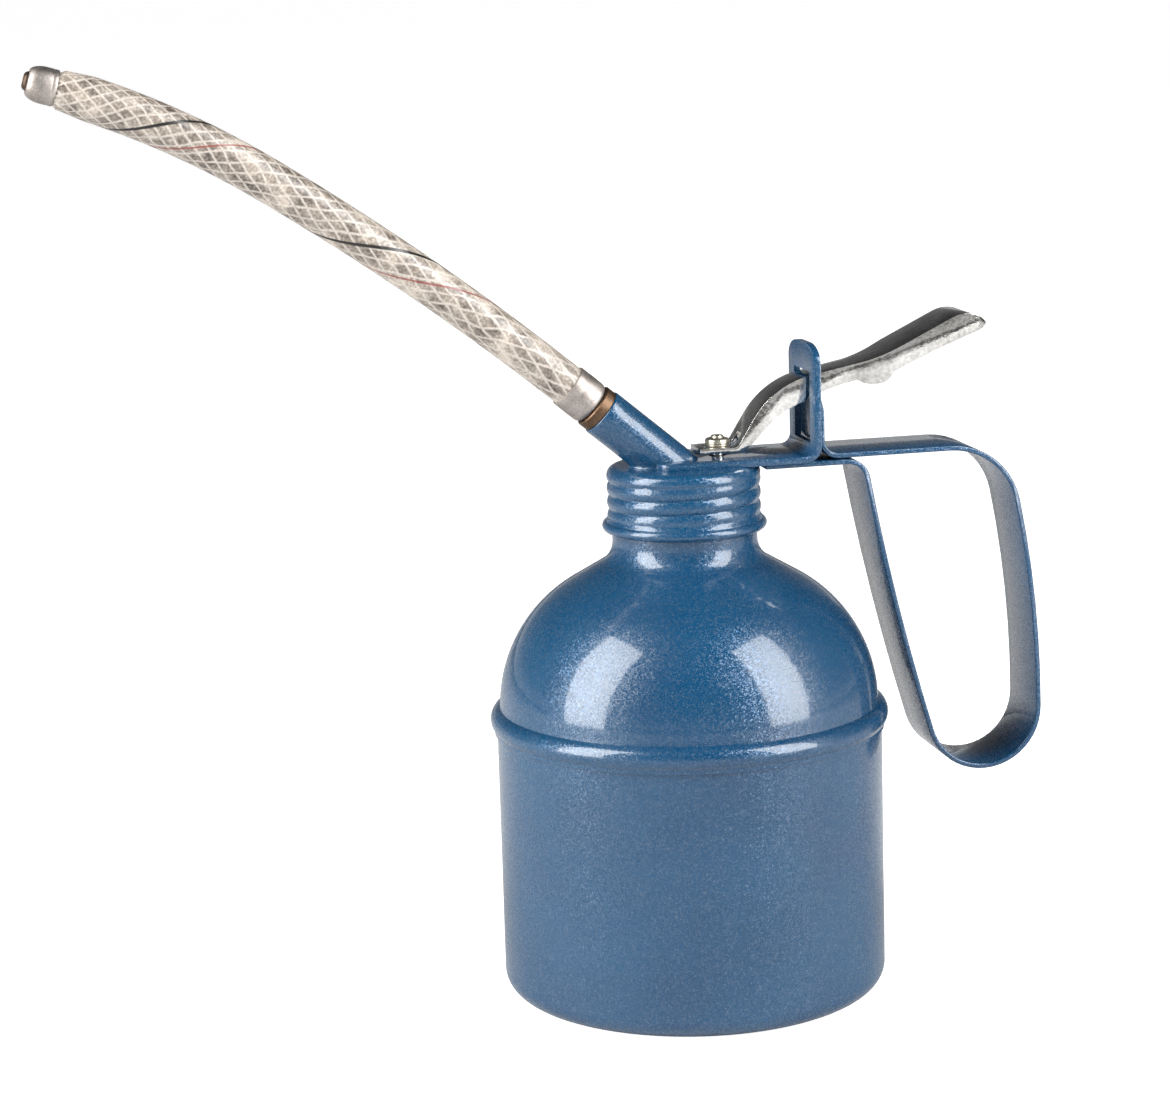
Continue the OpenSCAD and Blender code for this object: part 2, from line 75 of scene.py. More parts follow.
# ---- Braided spout hose ----
# The real piece is a stiff clear PVC hose with a white yarn braid under its skin, one black and one
# red tracer yarn among them. It is cut to length, pushed over a brass nipple at its root and crimped.
spout_angle = 40.5
mouth = (-19.5, 140.6)
hose_start = 3.6
straight_end = 12
bend_1 = (640, 7.5)
bend_2 = (197, 16)
hose_r = 4.9
hose_step = 0.1
crimp_l = 4.8
crimp_depth = 1.45
crimp_step = 0.8
crimp_run = 0.8
neck_run = 9
yarns = 11
root_turns = 9.9
tightening = 44
tracer_start = 0.448
red_lag = 2.5
ring_spacing = 1.0
hose_sides = 64


def srgb(code):
    """A colour's hex code as linear red, green, blue and alpha."""
    parts = [int(code[i:i + 2], 16) / 255 for i in (1, 3, 5)]
    return [p / 12.92 if p <= 0.04045 else ((p + 0.055) / 1.055) ** 2.4 for p in parts] + [1]


def add(tree, kind, settings=None, stops=(), **links):
    """Adds a node. Settings are its properties and stops the places and colours of a colour ramp. Links are
    its inputs: values, hex colours, outputs, or nodes, which link their first output."""
    node = tree.nodes.new(kind)
    for name, value in (settings or {}).items():
        setattr(node, name, value)
    for _ in stops[2:]:
        node.color_ramp.elements.new(0.5)
    for i, (place, code) in enumerate(stops):
        node.color_ramp.elements[i].position = place
        node.color_ramp.elements[i].color = srgb(code)
    for name, value in links.items():
        socket = node.inputs[int(name[1:]) if name[1:].isdigit() else name.replace("_", " ")]
        if isinstance(value, bpy.types.Node):
            value = value.outputs[0]
        if isinstance(value, bpy.types.NodeSocket):
            tree.links.new(value, socket)
        else:
            socket.default_value = srgb(value) if isinstance(value, str) else value
    return node


def new_material(name):
    """An empty node material with its shader and output joined up."""
    material = bpy.data.materials.new(name)
    material.use_nodes = True
    tree = material.node_tree
    tree.nodes.clear()
    shader = tree.nodes.new("ShaderNodeBsdfPrincipled")
    output = tree.nodes.new("ShaderNodeOutputMaterial")
    tree.links.new(shader.outputs[0], output.inputs[0])
    return material, tree, shader


def braided_pvc():
    """Clear PVC over a white braid: grey-beige windows between pale yarns, a wet gloss over all of it."""
    material, tree, shader = new_material("braided clear PVC")
    wrap = add(tree, "ShaderNodeAttribute", {"attribute_name": "wrap"}).outputs["Vector"]
    parts = add(tree, "ShaderNodeSeparateXYZ", Vector=wrap).outputs
    angle = add(tree, "ShaderNodeMath", {"operation": "ARCTAN2"}, i0=parts[1], i1=parts[0])
    turn = add(tree, "ShaderNodeMath", {"operation": "DIVIDE"}, i0=angle, i1=2 * pi)
    # turns of a yarn per metre at the root, and how the braid tightens towards the tip
    twist = add(tree, "ShaderNodeMath", {"operation": "MULTIPLY_ADD"}, i0=parts[2], i1=tightening,
                i2=root_turns)
    lead = add(tree, "ShaderNodeMath", {"operation": "MULTIPLY"}, i0=twist, i1=parts[2])
    place = add(tree, "ShaderNodeTexCoord").outputs["Object"]
    # wander of the yarns, about 8 mm long
    wander = add(tree, "ShaderNodeTexNoise", Vector=place, Scale=120.0, Detail=2.0)
    wobble = add(tree, "ShaderNodeMath", {"operation": "MULTIPLY_ADD"}, i0=wander, i1=0.9, i2=-0.45)
    pale = []
    for hand in (1, -1):
        along = add(tree, "ShaderNodeMath", {"operation": "MULTIPLY_ADD"}, i0=lead, i1=hand, i2=turn)
        phase = add(tree, "ShaderNodeMath", {"operation": "MULTIPLY_ADD"}, i0=along, i1=yarns, i2=wobble)
        away = add(tree, "ShaderNodeMath", {"operation": "PINGPONG"}, i0=phase, i1=0.5)
        # each yarn shows about 0.55 mm wide among windows 2.8 mm wide
        pale.append(add(tree, "ShaderNodeMapRange", {"interpolation_type": "SMOOTHSTEP"}, Value=away,
                        From_Min=0.02, From_Max=0.18, To_Min=1.0, To_Max=0.0))
    yarn = add(tree, "ShaderNodeMath", {"operation": "MAXIMUM"}, i0=pale[0], i1=pale[1])
    # cloudy inside of the hose, in patches of 5 mm, and grain of 0.6 mm
    cloud = add(tree, "ShaderNodeTexNoise", Vector=place, Scale=200.0, Detail=3.0)
    grain = add(tree, "ShaderNodeTexNoise", Vector=place, Scale=1600.0, Detail=2.0)
    broad = add(tree, "ShaderNodeMath", {"operation": "MULTIPLY"}, i0=cloud, i1=0.65)
    mixed = add(tree, "ShaderNodeMath", {"operation": "MULTIPLY_ADD"}, i0=grain, i1=0.35, i2=broad)
    window = add(tree, "ShaderNodeValToRGB", stops=((0.34, "#4c443e"), (0.5, "#968b80"), (0.64, "#cbbfb2")),
                 Fac=mixed)
    strand = add(tree, "ShaderNodeValToRGB", stops=((0.35, "#c6bbb0"), (0.6, "#eee6dc")), Fac=mixed)
    # the yarns sink into the skin here and there
    sunk = add(tree, "ShaderNodeMapRange", Value=cloud, From_Min=0.36, From_Max=0.62, To_Min=0.85, To_Max=0.4)
    cover = add(tree, "ShaderNodeMath", {"operation": "MULTIPLY"}, i0=yarn, i1=sunk)
    colour = add(tree, "ShaderNodeMix", {"data_type": "RGBA"}, i0=cover, i6=window, i7=strand).outputs[2]
    # the two tracer yarns run with the first family
    for lag, width, strength, code in ((0.0, 0.0125, 1.0, "#120e0b"),
                                       (red_lag / yarns, 0.0075, 0.8, "#8c3a34")):
        start = add(tree, "ShaderNodeMath", {"operation": "ADD"}, i0=turn, i1=tracer_start + lag)
        along = add(tree, "ShaderNodeMath", {"operation": "ADD"}, i0=lead, i1=start)
        away = add(tree, "ShaderNodeMath", {"operation": "PINGPONG"}, i0=along, i1=0.5)
        line = add(tree, "ShaderNodeMapRange", {"interpolation_type": "SMOOTHSTEP"}, Value=away,
                   From_Min=width * 0.7, From_Max=width * 1.5, To_Min=strength, To_Max=0.0)
        colour = add(tree, "ShaderNodeMix", {"data_type": "RGBA"}, i0=line, i6=colour, i7=code).outputs[2]
    tree.links.new(colour, shader.inputs["Base Color"])
    # the skin follows the yarns by a tenth of a millimetre
    bump = add(tree, "ShaderNodeBump", Height=yarn, Distance=0.0001, Strength=0.5)
    tree.links.new(bump.outputs[0], shader.inputs["Normal"])
    rough = add(tree, "ShaderNodeMapRange", Value=grain, To_Min=0.28, To_Max=0.5)
    tree.links.new(rough.outputs[0], shader.inputs["Roughness"])
    shader.inputs["IOR"].default_value = 1.53
    shader.inputs["Coat Weight"].default_value = 0.35
    shader.inputs["Coat Roughness"].default_value = 0.16
    return material


def spout_frames(step):
    """Places along the hose's centre line, from its root: distance, matrix with +Z along the hose, radius."""
    spots = []
    straight = straight_end - hose_start
    first = bend_1[0] * radians(bend_1[1])
    second = bend_2[0] * radians(bend_2[1])
    total = straight + first + second
    count = round(total / step)
    for i in range(count + 1):
        s = total * i / count
        x, z = mouth[0], mouth[1]
        angle = radians(spout_angle)
        run = hose_start + min(s, straight)
        x -= run * cos(angle)
        z += run * sin(angle)
        for radius, sweep in ((bend_1[0], min(max(s - straight, 0), first)),
                              (bend_2[0], min(max(s - straight - first, 0), second))):
            after = angle - sweep / radius
            x -= radius * (sin(angle) - sin(after))
            z += radius * (cos(after) - cos(angle))
            angle = after
        turn = Matrix.Rotation(angle - pi / 2, 4, "Y")
        grown = hose_r + 2 * hose_step * s / total
        # the hose necks down gently, then steps down under the ferrule's edge
        for depth, run in ((crimp_depth - crimp_step, neck_run), (crimp_step, crimp_run)):
            squeeze = min(max((s - total + crimp_l) / run + 1, 0), 1)
            grown -= depth * squeeze * squeeze * (3 - 2 * squeeze)
        spots.append((s, Matrix.Translation(Vector((x, 0, z)) * MM) @ turn, grown))
    return spots


def finish_piece(bm, name, body, material, smooth_angle=35):
    """Turns a bmesh into a piece of the object that rides on a body."""
    mesh = bpy.data.meshes.new(name)
    bm.to_mesh(mesh)
    bm.free()
    mesh.polygons.foreach_set("use_smooth", [True] * len(mesh.polygons))
    mesh.set_sharp_from_angle(angle=radians(smooth_angle))
    piece = bpy.data.objects.new(name, mesh)
    bpy.context.collection.objects.link(piece)
    mesh.materials.append(material)
    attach(piece, body)
    return piece


hose_line = spout_frames(ring_spacing)
bm = bmesh.new()
wrap_layer = bm.verts.layers.float_vector.new("wrap")
ring = bmesh.ops.create_circle(bm, segments=hose_sides, radius=MM)["verts"]
edges = [e for e in bm.edges]
before = Matrix.Identity(4)
for s, place, radius in hose_line:
    sized = place @ Matrix.Diagonal((radius, radius, 1, 1))
    if s > 0:
        grown = bmesh.ops.extrude_edge_only(bm, edges=edges)["geom"]
        ring = [g for g in grown if isinstance(g, bmesh.types.BMVert)]
        inside = set(ring)
        edges = [g for g in grown if isinstance(g, bmesh.types.BMEdge) and set(g.verts) <= inside]
    bmesh.ops.transform(bm, verts=ring, matrix=sized @ before.inverted())
    before = sized
    back = sized.inverted()
    for vert in ring:
        spot = back @ vert.co
        vert[wrap_layer] = (spot.x / MM, spot.y / MM, s * MM)
bmesh.ops.holes_fill(bm, edges=[e for e in bm.edges if e.is_boundary], sides=0)
bmesh.ops.recalc_face_normals(bm, faces=bm.faces)
hose = finish_piece(bm, "spout_hose_braided", "pump_unit", braided_pvc(), 60)
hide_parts("spout_hose")


# ---- Can body ----
# Drawn steel cup with a rounded bottom corner. It is sprayed with flake enamel and stoved together
# with the dome, the cap and everything brazed to the cap.
def arc(x, z, r, start, end, count):
    """Points of an arc about a centre, in millimetres, with angles in degrees."""
    angles = [radians(start + (end - start) * i / count) for i in range(count + 1)]
    return [(x + r * cos(a), z + r * sin(a)) for a in angles]


def lathe(profile, place=Matrix.Identity(4), steps=160, closed=True):
    """Spins a profile of radius and height, in millimetres, a full turn, and places the result."""
    bm = bmesh.new()
    verts = [bm.verts.new((x * MM, 0, z * MM)) for x, z in profile]
    edges = [bm.edges.new(pair) for pair in zip(verts, verts[1:])]
    if closed:
        edges.append(bm.edges.new((verts[-1], verts[0])))
    bmesh.ops.spin(bm, geom=verts + edges, cent=(0, 0, 0), axis=(0, 0, 1), angle=2 * pi, steps=steps,
                   use_merge=True)
    bmesh.ops.remove_doubles(bm, verts=bm.verts, dist=1e-7)
    bmesh.ops.recalc_face_normals(bm, faces=bm.faces)
    bmesh.ops.transform(bm, verts=bm.verts, matrix=place)
    return bm


def flake_enamel():
    """Blue stoving enamel with fine silver flakes: deep blue in shade, a pale sparkle towards the light."""
    material, tree, shader = new_material("blue flake enamel")
    place = add(tree, "ShaderNodeTexCoord").outputs["Object"]
    # flakes are about 0.1 mm, drawn 0.25 mm so that their sparkle shows
    flakes = add(tree, "ShaderNodeTexVoronoi", Vector=place, Scale=4000.0).outputs["Color"]
    pick = add(tree, "ShaderNodeSeparateColor", Color=flakes).outputs
    silver = add(tree, "ShaderNodeMapRange", Value=pick[0], From_Min=0.5, From_Max=0.95, To_Max=0.39)
    # faint mottling of the coat, in waves of 25 mm
    mottle = add(tree, "ShaderNodeTexNoise", Vector=place, Scale=40.0, Detail=2.0)
    blue = add(tree, "ShaderNodeValToRGB", stops=((0.3, "#003a5e"), (0.7, "#014468")), Fac=mottle)
    glint = add(tree, "ShaderNodeValToRGB", stops=((0.0, "#165886"), (1.0, "#8c9cad")), Fac=pick[1])
    colour = add(tree, "ShaderNodeMix", {"data_type": "RGBA"}, i0=silver, i6=blue, i7=glint).outputs[2]
    tree.links.new(colour, shader.inputs["Base Color"])
    metal_share = add(tree, "ShaderNodeMath", {"operation": "MULTIPLY"}, i0=silver, i1=0.9)
    tree.links.new(metal_share.outputs[0], shader.inputs["Metallic"])
    rough = add(tree, "ShaderNodeMapRange", Value=pick[2], To_Min=0.24, To_Max=0.34)
    tree.links.new(rough.outputs[0], shader.inputs["Roughness"])
    # each flake lies at its own small tilt
    tilt = add(tree, "ShaderNodeVectorMath", {"operation": "MULTIPLY_ADD"}, i0=flakes,
               i1=(0.28, 0.28, 0.28), i2=(-0.14, -0.14, -0.14))
    normal = add(tree, "ShaderNodeNewGeometry").outputs["Normal"]
    tilted = add(tree, "ShaderNodeVectorMath", {"operation": "ADD"}, i0=normal, i1=tilt)
    facing = add(tree, "ShaderNodeVectorMath", {"operation": "NORMALIZE"}, i0=tilted)
    tree.links.new(facing.outputs[0], shader.inputs["Normal"])
    # orange peel of the coat, in waves of 2 mm
    peel = add(tree, "ShaderNodeTexNoise", Vector=place, Scale=450.0, Detail=2.0)
    skin = add(tree, "ShaderNodeBump", Height=peel, Distance=0.00003, Strength=0.6)
    tree.links.new(skin.outputs[0], shader.inputs["Coat Normal"])
    shader.inputs["Coat Weight"].default_value = 0.75
    shader.inputs["Coat Roughness"].default_value = 0.08
    shader.inputs["Coat IOR"].default_value = 1.5
    return material


enamel = flake_enamel()
can_r = 46
sheet = 0.6
corner_r = 5
rim_z = 68
body_profile = ([(0, 0)] + arc(can_r - corner_r, corner_r, corner_r, -90, 0, 16) + [(can_r, rim_z)]
                + [(can_r - sheet, rim_z)]
                + arc(can_r - corner_r, corner_r, corner_r - sheet, 0, -90, 16) + [(0, sheet)])
can_body = finish_piece(lathe(body_profile, closed=False), "can_body_drawn", "can", enamel)
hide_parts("can_body")

# ---- Can dome ----
# Spun steel dome, its bead rolled over the body's rim, drawn up into the neck that the cap screws on.
# Its rolled thread matches the cap's.
bead = (44.3, 66.8, 3.2)
dome = (10.2, 69.2, 35)
dome_high = 59.5
neck_r = 17.2
neck_fillet = 6
neck_top = 124.9
neck_bore = 14.8
skirt = 3.05
thread_pitch = 3.3
thread_height = 0.62
neck_thread_height = 0.45
thread_start = 166
thread_crest = 121.75


def thread(bm, low, high, start_angle, crest_z, inner_r, outer_r, height):
    """Rolls a right-hand thread into the wall between two heights: vertices move out from its root."""
    for vert in bm.verts:
        across = vert.co.xy.length / MM
        z = vert.co.z / MM
        if not (low <= z <= high and inner_r <= across <= outer_r):
            continue
        angle = vert.co.xy.angle_signed(Vector((1, 0))) / (2 * pi)
        phase = (z - crest_z) / thread_pitch - angle + start_angle / 360
        roll = abs(cos(pi * phase)) ** 0.7
        fade = min((z - low) / 1.4, (high - z) / 1.4, 1)
        shift = (roll - 1) * height * fade
        vert.co.xy *= (across + shift) / across


def heights(x, low, high, step):
    """Points straight up a wall at one radius."""
    count = round(abs(high - low) / step)
    return [(x, low + (high - low) * i / count) for i in range(count + 1)]


dome_end = (dome[0] + dome[2] * cos(radians(dome_high)), dome[1] + dome[2] * sin(radians(dome_high)))
fillet_x = neck_r + neck_fillet * (1 - cos(radians(dome_high)))
fillet_z = dome_end[1] + (dome_end[0] - fillet_x) * cos(radians(dome_high)) / sin(radians(dome_high))
fillet = (neck_r + neck_fillet, fillet_z + neck_fillet * sin(radians(dome_high)))
lip_r = can_r + 0.05
dome_profile = ([(lip_r, bead[1] - skirt), (lip_r + sheet, bead[1] - skirt)]
                + arc(*bead, -42, 72, 24) + arc(*dome, 3, dome_high, 48)
                + arc(*fillet, neck_fillet, 180 + dome_high, 180, 14)
                + heights(neck_r, fillet[1] + 0.4, neck_top - 0.6, 0.22)
                + [(neck_r - 0.5, neck_top), (neck_bore, neck_top), (neck_bore, neck_top - sheet)]
                + heights(neck_r - sheet, neck_top - sheet - 0.6, fillet[1] + 0.4, 0.22)
                + arc(*fillet, neck_fillet + sheet, 180, 180 + dome_high, 14)
                + arc(dome[0], dome[1], dome[2] - sheet, dome_high, 3, 48)
                + [(can_r - sheet - 0.2, rim_z + sheet), (can_r - sheet - 0.2, rim_z), (lip_r, rim_z)])
bm = lathe(dome_profile)
thread(bm, 113.2, 124.2, thread_start, thread_crest, 16, 17.4, neck_thread_height)
can_dome = finish_piece(bm, "can_dome_spun", "can", enamel)
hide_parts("can_dome")

# ---- Screw cap ----
# Pressed steel cap with a rolled thread of three turns, its lower edge curled outwards into a hem.
# Its top is drawn whole: the real one is pierced for the rod and the outlet, under the bracket and the
# socket, and those two holes are not cut here.
cap_top = 127
cap_r = 18.2
cap_shoulder = 2.2
hem = (18.2, 112.8, 1.3)
wall_low = hem[1] + 2.3
cap_profile = ([(0, cap_top)] + arc(cap_r - cap_shoulder, cap_top - cap_shoulder, cap_shoulder, 90, 0, 12)
               + heights(cap_r, cap_top - cap_shoulder - 0.2, wall_low, 0.22)
               + [(cap_r + 0.04, wall_low - 0.35), (cap_r + 0.25, wall_low - 0.7)]
               + arc(*hem, 72, -130, 18)
               + heights(cap_r - 0.45, wall_low - 0.8, cap_top - 1.6, 0.22)
               + [(cap_r - 1.1, cap_top - 0.5), (0, cap_top - 0.5)])
bm = lathe(cap_profile, closed=False)
thread(bm, 114.7, 124.6, thread_start, thread_crest, 17, 18.3, thread_height)
cap = finish_piece(bm, "screw_cap_threaded", "pump_unit", enamel)
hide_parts("screw_cap")

# ---- Spout socket ----
# Steel tube brazed onto the cap at a slant, its root flared by the braze and the paint over it.
# Its mouth takes the bush that carries the hose.
socket_r = 5.75
bush_r = 4.3
braze = 1.1
spout_turn = Matrix.Rotation(radians(spout_angle) - pi / 2, 4, "Y")


def on_spout(s):
    """Place on the spout's straight axis, s millimetres from the socket's mouth, with +Z up the spout."""
    angle = radians(spout_angle)
    spot = Vector((mouth[0] - s * cos(angle), 0, mouth[1] + s * sin(angle))) * MM
    return Matrix.Translation(spot) @ spout_turn


def verts_of(result):
    """The vertices that an operator made."""
    return [g for g in result["geom"] if isinstance(g, bmesh.types.BMVert)]


def rim_of(verts):
    """The edges that join a ring of new vertices."""
    ring = set(verts)
    return list({e for v in verts for e in v.link_edges if set(e.verts) <= ring})


bm = bmesh.new()
inner = bmesh.ops.create_circle(bm, segments=72, radius=bush_r * MM, matrix=on_spout(-5))["verts"]
ring = inner
for radius, s in ((bush_r, -0.3), (bush_r + 0.2, 0), (socket_r - 0.35, 0), (socket_r - 0.1, -0.1),
                  (socket_r, -0.35), (socket_r, -3), (socket_r, -6), (socket_r, -9)):
    ring = verts_of(bmesh.ops.extrude_edge_only(bm, edges=rim_of(ring)))
    now = on_spout(s)
    inverse = now.inverted()
    for vert in ring:
        spot = inverse @ vert.co
        around = spot.xy.normalized() * radius * MM
        vert.co = now @ Vector((around.x, around.y, 0))
heading = (on_spout(1).translation - on_spout(0).translation) / MM
foot_x = mouth[0] + (mouth[1] - cap_top) / sin(radians(spout_angle)) * cos(radians(spout_angle))
for rise, widen in ((braze, 0), (0.6, 0.13), (0.25, 0.25), (0, 0.42)):
    ring = verts_of(bmesh.ops.extrude_edge_only(bm, edges=rim_of(ring)))
    centre = Vector((foot_x, 0, cap_top)) * MM
    for vert in ring:
        lift = (vert.co.z / MM - cap_top - rise) / heading.z * MM
        vert.co -= heading * lift
        vert.co.xy += (vert.co - centre).xy.normalized() * widen * MM
bmesh.ops.recalc_face_normals(bm, faces=bm.faces)
socket = finish_piece(bm, "spout_socket_brazed", "pump_unit", enamel, 60)
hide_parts("spout_socket")


# ---- Lever bracket ----
# Blanked and bent steel plate: a slot in its upright guides the lever. Its base lies flat on the cap,
# brazed there, with a hole round the pump rod.
edge_angle = 30
flat_angle = 0.8
shoulders_above = 0.1312


def softened(node, width, segments=2, bend=0):
    """A copy of a CAD node's mesh with its flat faces joined up and its sharp edges rounded. Its upper side
    edges can be given a wider bend first."""
    bm = bmesh.new()
    bm.from_mesh(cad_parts[node].data)
    bmesh.ops.remove_doubles(bm, verts=bm.verts, dist=2e-6)
    bmesh.ops.dissolve_limit(bm, angle_limit=radians(flat_angle), verts=bm.verts, edges=bm.edges)
    if bend:
        shoulders = [e for e in bm.edges if e.is_manifold and e.calc_face_angle() > radians(edge_angle)
                     and max(f.normal.z for f in e.link_faces) > 0.25
                     and max(abs(f.normal.y) for f in e.link_faces) > 0.6
                     and min(v.co.z for v in e.verts) > shoulders_above]
        bmesh.ops.bevel(bm, geom=shoulders, offset=bend * MM, segments=4, profile=0.5, affect="EDGES",
                        clamp_overlap=True, material=-1)
    sharp = [e for e in bm.edges if e.is_manifold and e.calc_face_angle() > radians(edge_angle)]
    bmesh.ops.bevel(bm, geom=sharp, offset=width * MM, segments=segments, profile=0.5, affect="EDGES",
                    clamp_overlap=True, material=-1)
    return bm


bracket = finish_piece(softened("lever_bracket", 0.3), "lever_bracket_bent", "pump_unit", enamel)
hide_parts("lever_bracket")

# ---- Handle strap ----
# One steel strip bent into a loop: its front end is brazed under the bracket's plate and its other
# end stands behind the upright, where its top edge is the lever's rest.
strap = finish_piece(softened("handle_strap", 0.28), "handle_strap_bent", "pump_unit", enamel)
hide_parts("handle_strap")


# ---- Pump inside the can ----
# Turned brass barrel, head, valve and suction tube, with a steel rod and ball, a rubber cup and
# packing, and a cork ring under the cap.
def metal(name, light, dark, rough_low, rough_high, grain_mm, depth_mm, stretch=(1, 1, 1)):
    """A bare metal whose tone and gloss vary with a fine grain of the given size."""
    material, tree, shader = new_material(name)
    place = add(tree, "ShaderNodeTexCoord").outputs["Object"]
    turned = add(tree, "ShaderNodeMapping", Vector=place, Scale=stretch)
    grain = add(tree, "ShaderNodeTexNoise", Vector=turned, Scale=1 / (grain_mm * MM), Detail=3.0)
    # handling marks in patches of 7 mm
    patch = add(tree, "ShaderNodeTexNoise", Vector=place, Scale=150.0, Detail=3.0)
    broad = add(tree, "ShaderNodeMath", {"operation": "MULTIPLY"}, i0=patch, i1=0.5)
    both = add(tree, "ShaderNodeMath", {"operation": "MULTIPLY_ADD"}, i0=grain, i1=0.5, i2=broad)
    tone = add(tree, "ShaderNodeValToRGB", stops=((0.35, dark), (0.65, light)), Fac=both)
    tree.links.new(tone.outputs[0], shader.inputs["Base Color"])
    rough = add(tree, "ShaderNodeMapRange", Value=both, From_Min=0.3, From_Max=0.7, To_Min=rough_low,
                To_Max=rough_high)
    tree.links.new(rough.outputs[0], shader.inputs["Roughness"])
    bump = add(tree, "ShaderNodeBump", Height=grain, Distance=depth_mm * MM, Strength=0.5)
    tree.links.new(bump.outputs[0], shader.inputs["Normal"])
    shader.inputs["Metallic"].default_value = 1.0
    return material


def soft_goods(name, light, dark, rough, grain_mm, depth_mm):
    """Rubber or cork: matt, with a speckle of its grain."""
    material, tree, shader = new_material(name)
    place = add(tree, "ShaderNodeTexCoord").outputs["Object"]
    grain = add(tree, "ShaderNodeTexNoise", Vector=place, Scale=1 / (grain_mm * MM), Detail=4.0)
    tone = add(tree, "ShaderNodeValToRGB", stops=((0.35, dark), (0.65, light)), Fac=grain)
    tree.links.new(tone.outputs[0], shader.inputs["Base Color"])
    matt = add(tree, "ShaderNodeMapRange", Value=grain, To_Min=rough - 0.1, To_Max=rough + 0.1)
    tree.links.new(matt.outputs[0], shader.inputs["Roughness"])
    bump = add(tree, "ShaderNodeBump", Height=grain, Distance=depth_mm * MM, Strength=0.6)
    tree.links.new(bump.outputs[0], shader.inputs["Normal"])
    return material


brass = metal("turned brass", "#d9bd72", "#b0904a", 0.22, 0.4, 0.5, 0.004, (1, 1, 6))
steel = metal("ground steel", "#cfd0cf", "#a4a5a5", 0.18, 0.32, 0.4, 0.003, (1, 1, 6))
rubber = soft_goods("oil-proof rubber", "#2b2b2c", "#1b1b1c", 0.6, 0.5, 0.02)
cork = soft_goods("cork rubber", "#b58d5e", "#7b5634", 0.8, 1.1, 0.06)
for node_name, finish in (
        ("cap_gasket", cork), ("pump_head", brass), ("gland_packing", rubber), ("gland_nut", brass),
        ("pump_barrel", brass), ("foot_valve", brass), ("ball_retainer", brass), ("inlet_ball", steel),
        ("suction_tube", brass), ("inlet_strainer", brass), ("spout_nipple", brass), ("piston_rod", steel),
        ("piston", brass), ("piston_cup", rubber), ("piston_nut", brass)):
    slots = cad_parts[node_name].data.materials
    slots.clear()
    slots.append(finish)

# ---- Return spring ----
# Coil of spring-steel wire round the rod, between the piston's cup and the head. The real one is squeezed as
# the rod rises; this coil keeps its wound length.
rod_x = 8.4
wire_r = 0.35
coil_r = 3.3
turns = 5
spring_low = 102.75
spring_high = 118.15
steps = turns * 36
wire_end = Vector((rod_x + coil_r, 0, spring_low)) * MM
bm = bmesh.new()
wire_place = Matrix.Translation(wire_end) @ Matrix.Rotation(pi / 2, 4, "X")
wire = bmesh.ops.create_circle(bm, segments=12, radius=wire_r * MM, matrix=wire_place)["verts"]
bmesh.ops.spin(bm, geom=wire + bm.edges[:], cent=(rod_x * MM, 0, 0), axis=(0, 0, 1), angle=2 * pi * turns,
               dvec=(0, 0, (spring_high - spring_low) * MM / steps), steps=steps, use_merge=False)
bmesh.ops.holes_fill(bm, edges=[e for e in bm.edges if e.is_boundary], sides=0)
bmesh.ops.recalc_face_normals(bm, faces=bm.faces)
spring = finish_piece(bm, "return_spring_wound", "pump_unit", steel, 60)
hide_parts("return_spring")
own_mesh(spring)

# ---- Bush in the socket's mouth ----
# Short turned bronze bush that carries the nipple: gone brown with heat. It is pressed into the
# socket, and its collar shows between the socket and the rear ferrule.
bronze = metal("browned bronze", "#7c6450", "#4f3d2f", 0.35, 0.55, 0.6, 0.02)
bush_profile = [(3.0, -8), (4.3, -8), (4.3, 0), (5.3, 0), (5.45, 0.15), (5.45, 2.3), (5.2, 2.6), (3.0, 2.6)]
bush = finish_piece(lathe(bush_profile, on_spout(0), 72), "spout_bush_turned", "pump_unit", bronze)
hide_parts("spout_bush")

# ---- Rear ferrule ----
# Aluminium sleeve crimped round the hose's root, with the marks of the crimping jaws round it. It
# holds the hose on its nipple.
aluminium = metal("crimped aluminium", "#d0c8c2", "#968d86", 0.42, 0.6, 0.35, 0.02)
rear_profile = ([(3.0, 2.6)] + arc(4.0, 3.9, 1.3, -90, -5, 8)
                + [(5.34, 4.4), (5.3, 4.75), (5.34, 5.1), (5.36, 7.2), (5.3, 7.5), (5.33, 7.8), (5.33, 9.9),
                   (5.2, 10.2), (4.88, 10.2), (4.88, 3.7), (3.0, 3.7)])
rear = finish_piece(lathe(rear_profile, on_spout(0), 96), "rear_ferrule_crimped", "pump_unit", aluminium)
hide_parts("rear_ferrule")

# ---- Front ferrule ----
# Aluminium sleeve closed down over the hose's tip and round the nozzle, with a shallow groove where the
# jaws gripped it.
tip_s, tip_place, tip_r = hose_line[-1]
front_profile = [(tip_r, -crimp_l), (tip_r + 0.35, -crimp_l - 0.1), (tip_r + 0.48, -crimp_l + 0.1),
                 (tip_r + 0.5, -4.0), (tip_r + 0.42, -3.8), (tip_r + 0.5, -3.5), (tip_r + 0.5, -2.3)]
for a in range(6, 80, 8):
    front_profile.append((2.4 + (tip_r - 1.9) * cos(radians(a)), -2.2 + 3.8 * sin(radians(a))))
front_profile += [(2.25, 1.55), (2.2, 1.45), (2.2, 0.1), (tip_r, 0.1)]
front = finish_piece(lathe(front_profile, tip_place, 96), "front_ferrule_crimped", "pump_unit", aluminium)
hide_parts("front_ferrule")

# ---- Nozzle ----
# Small bronze nozzle whose stem sits in the hose's tip, where the front ferrule holds it.
# It is turned, and has gone dull.
dull_bronze = metal("dull bronze", "#6b5a4e", "#453a33", 0.4, 0.6, 0.5, 0.015)
nozzle_profile = [(1.3, -5), (2.4, -5), (2.4, 0), (2.2, 0), (2.2, 1.7), (1.95, 2.15), (1.6, 2.45), (1.4, 2.5),
                  (1.3, 2.4)]
nozzle = finish_piece(lathe(nozzle_profile, tip_place, 64), "nozzle_tip_turned", "pump_unit", dull_bronze)
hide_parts("nozzle_tip")


